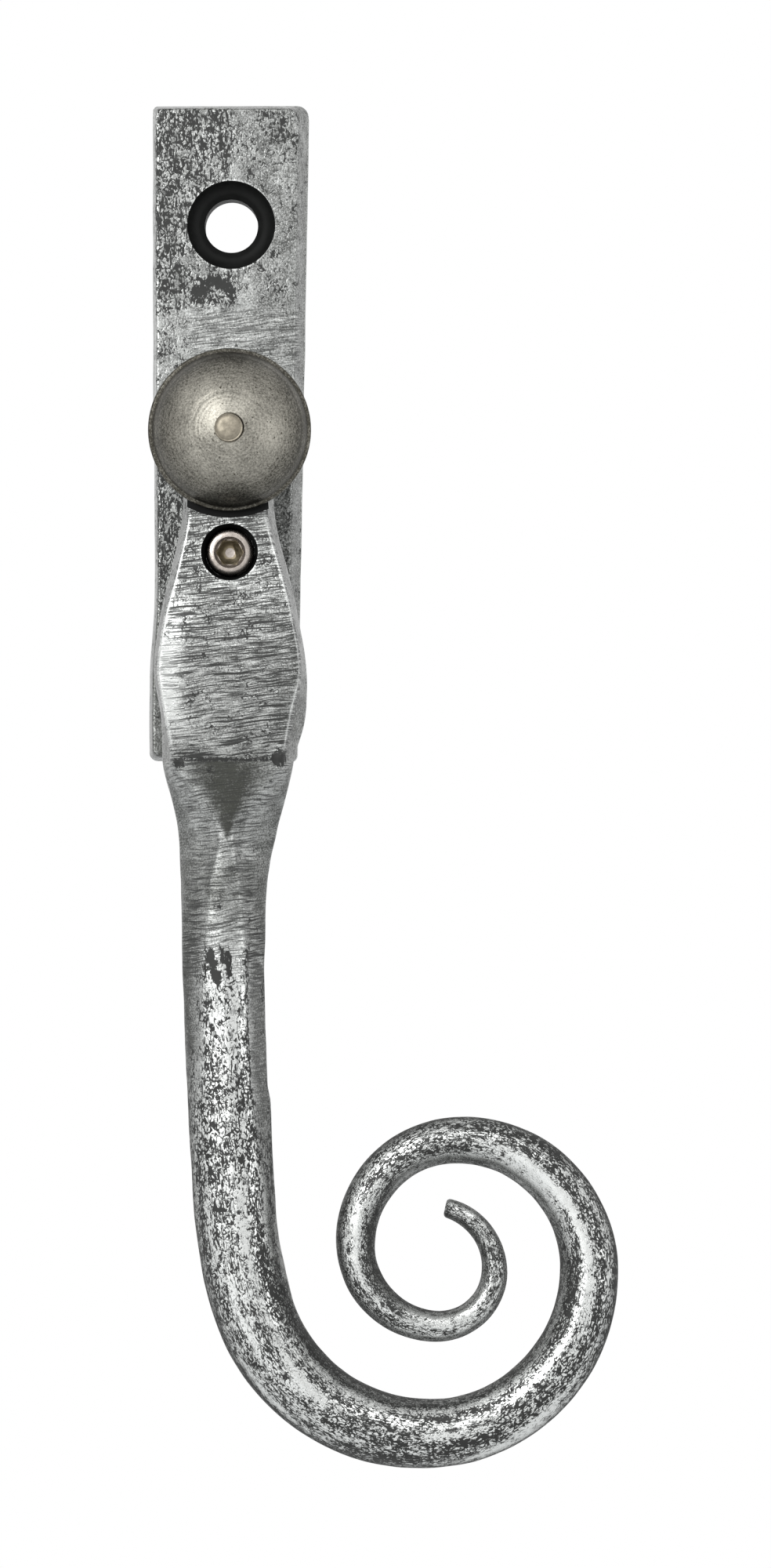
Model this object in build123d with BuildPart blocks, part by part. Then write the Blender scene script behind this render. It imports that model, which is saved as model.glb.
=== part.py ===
from build123d import *
import os
from math import cos, pi, sin

# A monkey tail espagnolette: a window handle with a curled tail, on a slim backplate.
# Millimetres, +Z up. The origin is on the spindle's axis, in the plate's back face.
# The front looks along -Y, the spindle points along +Y into the window.
# A height counts forward from the plate's back face, a drop counts down from the spindle.

# Backplate
plate_thickness = 8.0
plate_corners = [(-8.15, 33.95), (8.1, 34.0), (6.85, -34.0), (-8.55, -33.9)]
plate_corner_radii = [0.5, 1.2, 0.7, 0.8]
plate_left_edge = [(-8.45, -27.0), (-7.9, -10.0), (-8.1, 6.0)]
plate_bevel_height = 5.4
plate_bevel_left = 0.4
plate_bevel_right = 1.05
plate_bevel_ends = 0.45
fixing_spacing = 43.0
fixing_radius = 2.75
fixing_mouth_radius = 4.55
recess_radius = 6.75
recess_depth = 3.2

# Bearing and the stack behind the plate
journal_radius = 5.0
running_clearance = 0.03
bush_radius = 6.25
bush_flange_radius = 7.5
bush_flange_thickness = 0.8
spring_outer_radius = 6.5
spring_inner_radius = 5.15
spring_thickness = 0.4
washer_inner_radius = 5.1
washer_thickness = 0.8
ring_outer_radius = 6.3
ring_inner_radius = 4.7
ring_thickness = 1.0
ring_height = 0.5
ring_gap_angle = 50
ring_eye_radius = 0.5
ring_eye_angle = 38
groove_width = 1.1

# Spindle
spindle_side = 7.0
spindle_across_corners = 9.2
spindle_reach = 32.0
drive_side = 6.0
spindle_chamfer = 0.6

# Hub, knob and rivet
hub_radius = 7.25
hub_thickness = 8.0
spot_face_radius = 9.0
knob_radius = 8.35
knob_neck_radius = 4.5
knob_neck = 0.3
knob_rim = 0.8
knob_rim_edge = 0.3
knob_shoulder = 0.4
knob_dome = 6.1
rivet_radius = 1.5
rivet_hole_depth = 8.0
rivet_end_gap = 0.2
rivet_proud = 0.15
rivet_ring_outer = 1.08
rivet_ring_inner = 0.87
rivet_ring_depth = 0.12

# Leaf: the flat blade from the hub to the knee
leaf_front = 18.0
leaf_rise = 11.5
leaf_sweep = 1.7
leaf_start_drop = 9.0
knee_drop = 34.0
leaf_back = 10.2
leaf_back_rise = 10.7
leaf_back_sweep = 1.5
# drop, then left and right half widths of the front face and over the bevelled sides
leaf_stations = [
    (3.0, 4.15, 3.6, 4.9, 4.5),
    (9.0, 4.2, 3.75, 5.0, 4.7),
    (14.0, 5.2, 5.15, 6.0, 5.9),
    (19.0, 6.5, 6.4, 7.15, 7.05),
    (24.5, 7.15, 7.25, 7.75, 7.95),
    (29.5, 6.35, 6.3, 6.95, 7.85),
    (34.0, 5.5, 5.65, 6.6, 6.85),
]
leaf_bevel_height = 0.42
leaf_back_width = 0.82
# drop, half width in front, left and right half widths over the sides, heights of front, sides and back
knee_stations = [
    (34.0, 5.58, 6.6, 6.85, 29.5, 25.86, 20.9),
    (41.8, 0.4, 5.0, 4.9, 28.3, 24.1, 20.1),
    (47.0, 0.3, 4.9, 4.05, 27.6, 24.0, 20.4),
    (54.0, 0.3, 4.6, 3.5, 27.2, 24.0, 20.8),
]

# Lock screw
lock_drop = 12.5
lock_radius = 2.5
lock_clearance = 0.05
lock_length = 8.0
lock_face_height = 16.6
lock_bore_radius = 3.0
lock_bore_floor = 15.9
lock_chamfer = 0.25
dog_radius = 1.75
dog_length = 2.5
dog_hole_radius = 1.9
dog_hole_depth = 4.0
socket_width = 2.5
socket_depth = 2.4
socket_pilot_radius = 0.52
socket_pilot_depth = 0.5

# Grip and tail: a round bar whose arcs tighten from the grip to the tip
tail_height = 24.0
tail_start = (-0.45, -38.0)
tail_straight = 9.4
tail_arcs = [
    (490.0, 3.7),
    (43.0, 14.3),
    (18.3, 72.0),
    (16.65, 90.0),
    (13.2, 90.0),
    (10.55, 90.0),
    (8.4, 90.0),
    (5.75, 90.0),
    (6.5, 77.0),
]
tail_root_radius = 3.0
tail_root_taper = 0.18
tail_full_radius = 4.2
tail_tip_radius = 0.95
tail_taper = 0.06
tail_taper_power = 0.83
tail_step = 2.6
tail_tip_round = 0.7

hub_back = plate_thickness + bush_flange_thickness
spot_face = hub_back + hub_thickness
turning = Plane(origin=(0, 0, 0), x_dir=(1, 0, 0), z_dir=(0, 0, -1))


def level(height):
    """The plane at a height in front of the plate's back face, looking out to the front."""
    return Plane.XZ.offset(height)


def plate_section(height, left, right, ends):
    """The plate's outline at a height, drawn in at its left, right and ends."""
    corners = [
        (x + left if x < 0 else x - right, z - ends if z > 0 else z + ends)
        for x, z in plate_corners
    ]
    top_left, top_right, low_right, low_left = corners
    with BuildSketch(level(height)) as section:
        with BuildLine():
            Line(top_left, top_right)
            Line(top_right, low_right)
            Line(low_right, low_left)
            Spline(low_left, *[(x + left, z) for x, z in plate_left_edge], top_left)
        make_face()
        for corner, radius in zip(corners, plate_corner_radii):
            fillet(vertices().sort_by_distance(corner)[0], radius)
    return section.sketch


def leaf_heights(drop):
    """Heights of the leaf's front face and back face at a drop below the spindle."""
    along = max(drop - leaf_start_drop, 0) / (knee_drop - leaf_start_drop)
    front = leaf_front + leaf_rise * along**leaf_sweep
    back = leaf_back + leaf_back_rise * along**leaf_back_sweep
    return front, back


def bar_section(drop, front_left, front_right, side_left, side_right, front, side, back):
    """A six-sided cross section of the forging, square to Z."""
    with BuildSketch(Plane.XY.offset(-drop)) as section:
        with BuildLine():
            Polyline(
                (-front_left, -front),
                (front_right, -front),
                (side_right, -side),
                (side_right * leaf_back_width, -back),
                (-side_left * leaf_back_width, -back),
                (-side_left, -side),
                close=True,
            )
        make_face()
    return section.sketch


def tail_radius(from_root, to_tip):
    """Radius of the bar at its distances from the root inside the knee and from the tail's tip."""
    root = tail_root_radius + tail_root_taper * from_root
    taper = tail_tip_radius + tail_taper * to_tip**tail_taper_power
    return min(root, tail_full_radius, taper)


# Backplate: straight sides, then a bevel to the front face
with BuildPart() as backplate:
    extrude(plate_section(0, 0, 0, 0), amount=plate_bevel_height)
    add(plate_section(plate_bevel_height, 0, 0, 0))
    add(plate_section(plate_thickness, plate_bevel_left, plate_bevel_right, plate_bevel_ends))
    loft(ruled=True)
    with Locations(level(plate_thickness)):
        with GridLocations(0, fixing_spacing, 1, 2):
            CounterSinkHole(fixing_radius, fixing_mouth_radius, counter_sink_angle=90)
        with Locations((0, -lock_drop)):
            Hole(dog_hole_radius, depth=dog_hole_depth)
    with Locations(-level(0)):
        CounterBoreHole(bush_radius, recess_radius, recess_depth)

# Bush: pressed into the plate, its flange bears on the back of the hub
with BuildPart() as pivot_bush:
    with BuildSketch(level(recess_depth)):
        Circle(bush_radius)
    extrude(amount=plate_thickness - recess_depth)
    with BuildSketch(level(plate_thickness)):
        Circle(bush_flange_radius)
    extrude(amount=bush_flange_thickness)
    with Locations(level(hub_back)):
        Hole(journal_radius + running_clearance)

# Disc spring: a shallow cone between the bush and the thrust washer
washer_top = ring_height + ring_thickness + washer_thickness
with BuildPart() as disc_spring:
    with BuildSketch(turning):
        with BuildLine():
            Polyline(
                (spring_inner_radius, recess_depth - spring_thickness),
                (spring_inner_radius, recess_depth),
                (spring_outer_radius, washer_top + spring_thickness),
                (spring_outer_radius, washer_top),
                close=True,
            )
        make_face()
    revolve(axis=Axis.Y)

with BuildPart() as thrust_washer:
    with BuildSketch(level(ring_height + ring_thickness)):
        Circle(spring_outer_radius)
        Circle(washer_inner_radius, mode=Mode.SUBTRACT)
    extrude(amount=washer_thickness)

# Retaining ring: open at the bottom, with an eye in each end for the pliers
with BuildPart() as retaining_ring:
    middle_radius = (ring_outer_radius + ring_inner_radius) / 2
    with BuildSketch(level(ring_height)):
        Circle(ring_outer_radius)
        Circle(ring_inner_radius, mode=Mode.SUBTRACT)
        gap_half = ring_outer_radius * sin(ring_gap_angle / 2 * pi / 180)
        with Locations((0, -ring_outer_radius)):
            Rectangle(2 * gap_half, 2 * ring_outer_radius - ring_inner_radius, mode=Mode.SUBTRACT)
        for side in (-1, 1):
            angle = (-90 + side * ring_eye_angle) * pi / 180
            with Locations((middle_radius * cos(angle), middle_radius * sin(angle))):
                Circle(ring_eye_radius, mode=Mode.SUBTRACT)
    extrude(amount=ring_thickness)

# Spindle: square bar for the gearbox, round journal in the bush, square drive in the hub
with BuildPart() as spindle:
    with BuildSketch(level(0)):
        Circle(journal_radius)
    extrude(amount=hub_back)
    with BuildSketch(level(hub_back)):
        Rectangle(drive_side, drive_side)
    extrude(amount=hub_thickness)
    with BuildSketch(level(0)):
        Rectangle(spindle_side, spindle_side)
        Circle(spindle_across_corners / 2, mode=Mode.INTERSECT)
    extrude(amount=-spindle_reach)
    with BuildSketch(level(ring_height + ring_thickness - groove_width)):
        Circle(journal_radius)
        Circle(ring_inner_radius, mode=Mode.SUBTRACT)
    extrude(amount=groove_width, mode=Mode.SUBTRACT)
    with Locations(level(spot_face)):
        Hole(rivet_radius, depth=rivet_hole_depth)
    chamfer(faces().sort_by(Axis.Y)[-1].edges(), spindle_chamfer)

# Knob: turned dome on a short neck
knob_back = spot_face + knob_neck
rim_top = knob_back + knob_rim
dome_foot_radius = knob_radius - knob_shoulder
dome_foot = rim_top + knob_shoulder / 2
dome_top = dome_foot + knob_dome
dome_sphere = (dome_foot_radius**2 + knob_dome**2) / (2 * knob_dome)
dome_centre = dome_top - dome_sphere
with BuildPart() as knob:
    with BuildSketch(turning):
        with BuildLine():
            rivet_top = dome_centre + (dome_sphere**2 - rivet_radius**2) ** 0.5
            halfway = (dome_sphere * sin(pi / 4), dome_centre + dome_sphere * cos(pi / 4))
            dome = ThreePointArc((dome_foot_radius, dome_foot), halfway, (rivet_radius, rivet_top))
            Polyline(
                dome @ 1,
                (rivet_radius, spot_face),
                (knob_neck_radius, spot_face),
                (knob_neck_radius, knob_back),
                (knob_radius - knob_rim_edge, knob_back),
                (knob_radius, knob_back + knob_rim_edge),
                (knob_radius, rim_top),
                dome @ 0,
            )
        make_face()
    revolve(axis=Axis.Y)

# Rivet: holds knob, handle and spindle together, with a ring turned in its end
rivet_foot = spot_face - rivet_hole_depth + rivet_end_gap
rivet_end = dome_top + rivet_proud
with BuildPart() as knob_rivet:
    with BuildSketch(level(rivet_foot)):
        Circle(rivet_radius)
    extrude(amount=rivet_end - rivet_foot)
    with BuildSketch(level(rivet_end - rivet_ring_depth)):
        Circle(rivet_ring_outer)
        Circle(rivet_ring_inner, mode=Mode.SUBTRACT)
    extrude(amount=rivet_ring_depth, mode=Mode.SUBTRACT)

# Tail line: a straight grip, then arcs that join without a kink
with BuildLine(Plane.XZ) as tail_line:
    run = Line(tail_start, (tail_start[0], tail_start[1] - tail_straight))
    for radius, turn in tail_arcs:
        along = run % 1
        run = JernArc(run @ 1, (along.X, along.Z), radius, turn)
tail_curve = Plane.XZ.offset(tail_height).location * Plane.XZ.location.inverse() * tail_line.line
tail_wire = tail_curve.wires()[0]

# Handle: hub, leaf, knee and tail forged from one bar
with BuildPart() as handle:
    for drop, *half_widths in leaf_stations:
        front, back = leaf_heights(drop)
        side = front - (front - back) * leaf_bevel_height
        add(bar_section(drop, *half_widths, front, side, back))
    loft()
    for drop, front_half, *rest in knee_stations:
        add(bar_section(drop, front_half, front_half, *rest))
    loft(ruled=True)
    steps = int(tail_wire.length / tail_step)
    for step in range(steps + 1):
        place = tail_wire.location_at(step / steps)
        cut = Plane(origin=place.position, x_dir=(0, -1, 0), z_dir=tail_wire.tangent_at(step / steps))
        with BuildSketch(cut):
            along = tail_wire.length * step / steps
            Circle(tail_radius(along, tail_wire.length - along))
    loft()
    fillet(edges().sort_by_distance(tail_wire @ 1)[0], tail_tip_round)
    with BuildSketch(level(spot_face)):
        Circle(spot_face_radius)
    extrude(amount=leaf_front, mode=Mode.SUBTRACT)
    with BuildSketch(level(hub_back)):
        Circle(hub_radius)
    extrude(amount=hub_thickness)
    with BuildSketch(level(hub_back)):
        Rectangle(drive_side, drive_side)
    extrude(amount=hub_thickness, mode=Mode.SUBTRACT)
    with Locations(level(lock_bore_floor)):
        with Locations((0, -lock_drop)):
            Hole(lock_radius + lock_clearance, depth=lock_bore_floor)
    with BuildSketch(level(lock_bore_floor)):
        with Locations((0, -lock_drop)):
            Circle(lock_bore_radius)
    extrude(amount=leaf_front, mode=Mode.SUBTRACT)

# Lock screw: headless, hexagon socket in front, dog point behind
with BuildPart() as lock_screw:
    lock_tip = lock_face_height - lock_length
    with BuildSketch(level(lock_tip)):
        with Locations((0, -lock_drop)):
            Circle(dog_radius)
    extrude(amount=dog_length)
    with BuildSketch(level(lock_tip + dog_length)):
        with Locations((0, -lock_drop)):
            Circle(lock_radius)
    extrude(amount=lock_length - dog_length)
    face_edge = faces().sort_by(Axis.Y)[0].edges()
    tip_edge = faces().sort_by(Axis.Y)[-1].edges()
    chamfer(face_edge + tip_edge, lock_chamfer)
    with BuildSketch(level(lock_face_height)):
        with Locations((0, -lock_drop)):
            RegularPolygon(socket_width / 2, 6, major_radius=False, rotation=30)
    extrude(amount=-socket_depth, mode=Mode.SUBTRACT)
    with Locations(level(lock_face_height - socket_depth)):
        with Locations((0, -lock_drop)):
            Hole(socket_pilot_radius, depth=socket_pilot_depth)

pieces = {
    "backplate": backplate,
    "pivot_bush": pivot_bush,
    "disc_spring": disc_spring,
    "thrust_washer": thrust_washer,
    "retaining_ring": retaining_ring,
    "spindle": spindle,
    "handle": handle,
    "knob": knob,
    "knob_rivet": knob_rivet,
    "lock_screw": lock_screw,
}

os.makedirs("parts", exist_ok=True)
for name, piece in pieces.items():
    piece.part.label = name
    export_step(piece.part, f"parts/{name}.step")
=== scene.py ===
from math import atan2, cos, hypot, pi, radians, sin, sqrt

import bmesh
import bpy
from mathutils import Matrix, Vector, noise


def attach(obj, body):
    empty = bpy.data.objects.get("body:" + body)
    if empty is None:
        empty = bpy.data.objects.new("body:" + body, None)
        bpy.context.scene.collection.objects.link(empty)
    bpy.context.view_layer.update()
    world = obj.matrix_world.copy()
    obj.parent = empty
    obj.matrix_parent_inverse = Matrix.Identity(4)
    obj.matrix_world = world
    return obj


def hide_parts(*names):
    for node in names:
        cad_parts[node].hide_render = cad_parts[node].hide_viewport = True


# A monkey tail espagnolette handle: forged steel, blackened and then rubbed back so that
# the high spots are bright and the pits stay black.
# Shapes are worked out in millimetres and scaled to metres when a piece is finished.
# A height counts forward from the plate's back face, a drop counts down from the spindle.

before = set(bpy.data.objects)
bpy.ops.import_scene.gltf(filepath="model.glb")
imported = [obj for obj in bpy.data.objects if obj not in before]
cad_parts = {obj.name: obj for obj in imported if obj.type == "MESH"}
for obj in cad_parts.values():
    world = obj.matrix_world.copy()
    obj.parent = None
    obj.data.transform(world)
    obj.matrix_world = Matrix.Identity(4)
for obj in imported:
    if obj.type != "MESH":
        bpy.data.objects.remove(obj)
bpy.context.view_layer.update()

# Backplate
PLATE_THICKNESS = 8.0
PLATE_CORNERS = [(-8.15, 33.93), (8.06, 33.98), (6.83, -33.97), (-8.52, -33.87)]
PLATE_CORNER_RADII = [0.5, 1.2, 0.7, 0.8]
# height above the spindle, then how far the left edge stands right of a straight line
PLATE_LEFT_HOLLOW = [
    (-34.0, 0.0), (-25.0, 0.0), (-18.0, 0.4), (-10.0, 0.42), (6.0, 0.18), (34.0, 0.0),
]
PLATE_BEVEL_HEIGHT = 5.4
PLATE_BEVEL_LEFT = 0.4
PLATE_BEVEL_RIGHT = 1.05
PLATE_BEVEL_ENDS = 0.45
PLATE_ARRIS = 0.16
PLATE_LOW_ARRIS = 0.2
# cuts that keep the arrises' rounding from shading the flats beside them: inwards from the
# long arrises, and heights across the bevels
PLATE_FRONT_CUTS = (0.28, 0.9)
PLATE_BEVEL_CUTS = (5.8, 7.45)
PLATE_GRID = 0.6
# places where the plate's front is more or less pitted: by how much, then as (none, all) of
# it the heights above the spindle, the places across and again the heights where it fades
PLATE_PATCHES = [
    (0.45, (14, 22), (2, -4)),
    (0.15, (26, 30)),
    (0.15, (6, 12), (-3, -6)),
    (0.35, (4, -8), (-2, -5)),
    (-0.08, (-4, 4), (0, 4), (28, 22)),
    (0.35, (11.5, 13.5), (1.5, -1), (18, 16)),
]
# middle across and up, and radius of the black arch under the upper fixing hole
PLATE_ARCH = (-1.7, 13.9, 1.7)
FIXING_DROP = 21.5
SINK_RADIUS = 4.5

# Leaf, knee and tail
LEAF_START = 9.0
KNEE_DROP = 34.0
# height at the leaf's start, rise to the knee and how late that comes, for front and back
LEAF_FRONT = (18.0, 11.35, 1.7)
LEAF_BACK = (10.2, 10.7, 1.5)
LEAF_BEVEL = 0.42
LEAF_BACK_WIDTH = 0.82
LEAF_CROWN = 0.55
# drop, then half widths: front face left and right, over the sides left and right
LEAF_WIDTHS = [
    (3.0, 4.15, 3.6, 4.9, 4.5),
    (9.0, 4.2, 3.75, 5.0, 4.7),
    (14.0, 5.2, 5.15, 6.0, 5.9),
    (19.0, 6.5, 6.4, 7.15, 7.05),
    (24.5, 7.15, 7.25, 7.75, 7.95),
    (29.5, 6.35, 6.3, 6.95, 7.85),
    (34.0, 5.5, 5.65, 6.75, 6.7),
]
# drop, half widths as above, heights of front, sides and back, then how round the bar is
KNEE_SHAPE = [
    (34.0, 5.5, 5.65, 6.75, 6.7, 29.35, 25.9, 20.9, 0.0),
    (41.6, 0.35, 0.1, 5.3, 5.4, 28.3, 24.2, 20.1, 0.3),
    (46.2, 0.6, 0.3, 5.35, 4.67, 28.1, 24.1, 19.9, 0.75),
    (52.0, 0.6, 0.3, 4.9, 3.9, 28.1, 24.0, 19.8, 1.0),
]
KNEE_END = 52.0
TAIL_CENTRE = -0.45
TAIL_HEIGHT = 24.0
TAIL_STRAIGHT_END = 47.4
# radius and turn in degrees of the arcs that the centre line of the tail follows
TAIL_ARCS = [
    (490.0, 3.7), (43.0, 14.3), (18.3, 72.0), (16.65, 90.0), (13.2, 90.0), (10.55, 90.0),
    (8.4, 90.0), (5.75, 90.0), (6.5, 77.0),
]
TAIL_RADIUS = 4.17
TIP_RADIUS = 0.95
# angle from the front in degrees, depth as a share of the radius, and the drops where the
# flat begins and has run out
TAIL_FLATS = [
    (60.0, 0.12, 40.0, 76.0),
    (-54.0, 0.075, 40.0, 70.0),
    (-13.0, 0.035, 57.0, 92.0),
]
# drop, then the reach of the bar's left and right side as shares of its radius
GRIP_REACH = [
    (46.0, 1.05, 1.03), (50.0, 1.045, 1.02), (55.0, 1.035, 0.972), (60.0, 1.01, 0.975),
    (67.0, 1.0, 0.98), (68.5, 1.0, 1.035), (76.0, 1.01, 1.02), (90.0, 1.0, 1.0),
]
# across, drop, radius and depth of the dents that the hammer left at the knee
KNEE_DENTS = [(-5.0, 34.1, 0.7, 0.25), (5.25, 33.7, 1.0, 0.45)]
# across, drop, half width and half length of the deep black pits at the top of the grip
GRIP_PITS = [(-1.5, 54.6, 0.3, 1.9), (-0.15, 54.2, 0.36, 1.6)]
# angle from the front in radians, and how pitted the edge of a flat of the grip is there
GRIP_GROOVES = [(-0.5, 0.35), (0.62, 0.7)]
# the pits grow shorter along the bar: the drop where that begins, and by what share
PIT_CROWDING = [(66.0, 0.1), (80.0, 0.1), (150.0, 0.2)]
LOCK_DROP = 12.5
BORE_RADIUS = 2.92
HEXAGON_FLATS = 2.5

# Points round the handle: along the front, the bevels and the back, and at each corner
SIDE_POINTS = (22, 6, 5, 14, 5, 6)
CORNER_POINTS = 3
CORNER_ROUNDING = (0.22, 0.22, 0.3, 0.8, 0.8, 0.3)

# Radii of the grooves that the lathe left in the knob
KNOB_GROOVES = (7.62, 7.2, 6.85, 6.35, 3.85)

# What is painted on the forged pieces, each from 0 to about 1; bright also carries painted
# highlights and dull painted shade
FINISHES = ("pitted", "filed", "bright", "dull")

# Faces that meet at more than this many degrees keep a hard edge
HARD_EDGE = 35


def colour(text):
    """An sRGB hex colour as linear red, green, blue and alpha."""
    parts = [int(text[i : i + 2], 16) / 255 for i in (0, 2, 4)]
    return [p / 12.92 if p <= 0.04045 else ((p + 0.055) / 1.055) ** 2.4 for p in parts] + [1.0]


def ramp(low, high, value):
    """0 up to low, 1 from high, and a smooth change between them."""
    share = min(max((value - low) / (high - low), 0.0), 1.0)
    return share * share * (3 - 2 * share)


def read_table(table, at, straight=False):
    """A table's row at a value of its first column, eased or straight between its rows."""
    for here, (before, after) in enumerate(zip(table, table[1:])):
        if at > after[0]:
            continue
        share = min(max((at - before[0]) / (after[0] - before[0]), 0.0), 1.0)
        if straight:
            return [a + (b - a) * share for a, b in zip(before[1:], after[1:])]
        first = table[max(here - 1, 0)]
        last = table[min(here + 2, len(table) - 1)]
        rows = (first, before, after, last)
        return [eased_value(*four, share) for four in list(zip(*rows))[1:]]
    return list(table[-1][1:])


def eased_value(before, low, high, after, share):
    """A smooth curve through low and high whose slopes come from the values either side."""
    slope_low = (high - before) / 2
    slope_high = (after - low) / 2
    square, cube = share * share, share**3
    return (
        (2 * cube - 3 * square + 1) * low
        + (cube - 2 * square + share) * slope_low
        + (3 * square - 2 * cube) * high
        + (cube - square) * slope_high
    )


# Mesh tools


def extrude_ring(bm, ring, places):
    """Extrudes a ring of vertices to new places and returns the new ring in the same order."""
    edges = [bm.edges.get(pair) for pair in zip(ring, ring[1:] + ring[:1])]
    made = bmesh.ops.extrude_edge_only(bm, edges=edges)["geom"]
    fresh = {v for v in made if isinstance(v, bmesh.types.BMVert)}
    moved = []
    for vertex, place in zip(ring, places):
        partners = (edge.other_vert(vertex) for edge in vertex.link_edges)
        partner = next(other for other in partners if other in fresh)
        partner.co = place
        moved.append(partner)
    return moved


def turned(profile, steps=96, drop=0.0):
    """A solid turned about an axis along Y, from the (radius, height) points of its profile."""
    bm = bmesh.new()
    chain = [bm.verts.new((radius, -height, 0)) for radius, height in profile]
    edges = [bm.edges.new(pair) for pair in zip(chain, chain[1:])]
    bmesh.ops.spin(
        bm, geom=chain + edges, cent=(0, 0, 0), axis=(0, 1, 0),
        angle=2 * pi, steps=steps, use_merge=True,
    )
    bmesh.ops.remove_doubles(bm, verts=bm.verts, dist=1e-4)
    bmesh.ops.recalc_face_normals(bm, faces=bm.faces)
    bmesh.ops.translate(bm, verts=bm.verts, vec=(0, 0, -drop))
    return bm


def cut_across(bm, place, facing):
    """Parts a shape's faces along a plane, and keeps both sides."""
    everything = bm.verts[:] + bm.edges[:] + bm.faces[:]
    bmesh.ops.bisect_plane(bm, geom=everything, dist=1e-4, plane_co=place, plane_no=facing)


def round_edges(bm, edges, reach, segments):
    """Rounds edges off by a reach."""
    bmesh.ops.bevel(
        bm, geom=edges, offset=reach, segments=segments, profile=0.5, affect="EDGES",
        offset_type="OFFSET", material=-1, clamp_overlap=True,
    )


def in_scene(name, data):
    """An object of the scene from its mesh, lamp or lens."""
    made = bpy.data.objects.new(name, data)
    bpy.context.scene.collection.objects.link(made)
    return made


def as_object(bm, name, materials=(), index=0):
    """An object from a bmesh, still in millimetres, all in one of its materials."""
    mesh = bpy.data.meshes.new(name)
    bm.to_mesh(mesh)
    bm.free()
    for material in materials:
        mesh.materials.append(material)
    mesh.polygons.foreach_set("material_index", [index] * len(mesh.polygons))
    return in_scene(name, mesh)


def joined(target, bm, operation, index=0):
    """Cuts a shape, in one of the target's materials, out of the target, or unites them."""
    tool = as_object(bm, "tool", target.data.materials, index)
    joint = target.modifiers.new("joint", "BOOLEAN")
    joint.operation = operation
    joint.solver = "EXACT"
    joint.object = tool
    bpy.context.view_layer.update()
    graph = bpy.context.evaluated_depsgraph_get()
    mesh = bpy.data.meshes.new_from_object(target.evaluated_get(graph))
    target.modifiers.clear()
    old = target.data
    target.data = mesh
    bpy.data.meshes.remove(old)
    bpy.data.objects.remove(tool)


def paint(made, places, finish_at):
    """Gives each vertex its place on the unbent bar and how it is finished there."""
    mesh = made.data
    finishes = [finish_at(*place) for place in places]
    for name, values in zip(FINISHES, zip(*finishes)):
        mesh.attributes.new(name, "FLOAT", "POINT").data.foreach_set("value", values)
    flat = []
    for across, height, drop in places:
        # the pits are narrower towards the tip, and shorter too
        finer = 1.05 + 0.4 * ramp(66, 96, drop) + 0.4 * ramp(125, 200, drop)
        along = drop
        for begins, share in PIT_CROWDING:
            along += max(drop - begins, 0) * share
        flat += [across * finer, (TAIL_HEIGHT - height) * finer, -along]
    mesh.attributes.new("unbent", "FLOAT_VECTOR", "POINT").data.foreach_set("vector", flat)


def finish_piece(made, body, nodes):
    """Scales a piece to metres, shades it and hangs it on its body."""
    made.data.transform(Matrix.Scale(0.001, 4))
    made.data.shade_smooth()
    made.data.set_sharp_from_angle(angle=radians(HARD_EDGE))
    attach(made, body)
    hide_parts(*nodes)


# Materials


def node(tree, kind, inputs=(), output=0, **settings):
    """Adds a shader node, makes its settings, fills or links its inputs and gives one output."""
    made = tree.nodes.new("ShaderNode" + kind)
    for name, value in settings.items():
        setattr(made, name, value)
    for socket, value in dict(inputs).items():
        if isinstance(value, bpy.types.NodeSocket):
            tree.links.new(value, made.inputs[socket])
        else:
            made.inputs[socket].default_value = value
    return made.outputs[output] if made.outputs else made


def new_material(name):
    """An empty node material and its tree."""
    material = bpy.data.materials.new(name)
    material.use_nodes = True
    material.node_tree.nodes.clear()
    return material, material.node_tree


def object_place(tree):
    """A spot's place on the piece, in millimetres."""
    where = node(tree, "TexCoord", (), "Object")
    return node(tree, "VectorMath", {0: where, "Scale": 1000.0}, operation="SCALE")


def from_axis(tree, place):
    """How far a place is from the axis along Y."""
    flat = node(tree, "VectorMath", {0: place, 1: (1.0, 0.0, 1.0)}, operation="MULTIPLY")
    return node(tree, "VectorMath", {0: flat}, "Value", operation="LENGTH")


def clouds(tree, place, size, detail, roughness=0.5):
    """Soft clouds of a size in millimetres, lighter and darker about 0."""
    looks = {"Vector": place, "Scale": 1 / size, "Detail": detail, "Roughness": roughness}
    made = node(tree, "TexNoise", looks)
    return node(tree, "Math", {0: made, 1: 0.5}, operation="SUBTRACT")


def dark_under(tree, pattern, level, steep, middle):
    """1 well under a level of a pattern, 0 over it and a middle value at the level itself."""
    depth = node(tree, "Math", {0: level, 1: pattern}, operation="SUBTRACT")
    return node(
        tree, "Math", {0: depth, 1: steep, 2: middle}, operation="MULTIPLY_ADD", use_clamp=True
    )


def give_surface(tree, looks, skin, strength, depth):
    """Ends a material: the shader with its looks, and a skin as deep as that many metres."""
    normal = node(tree, "Bump", {"Strength": strength, "Distance": depth, "Height": skin})
    surface = node(tree, "BsdfPrincipled", {**looks, "Normal": normal})
    node(tree, "OutputMaterial", {"Surface": surface})


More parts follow.
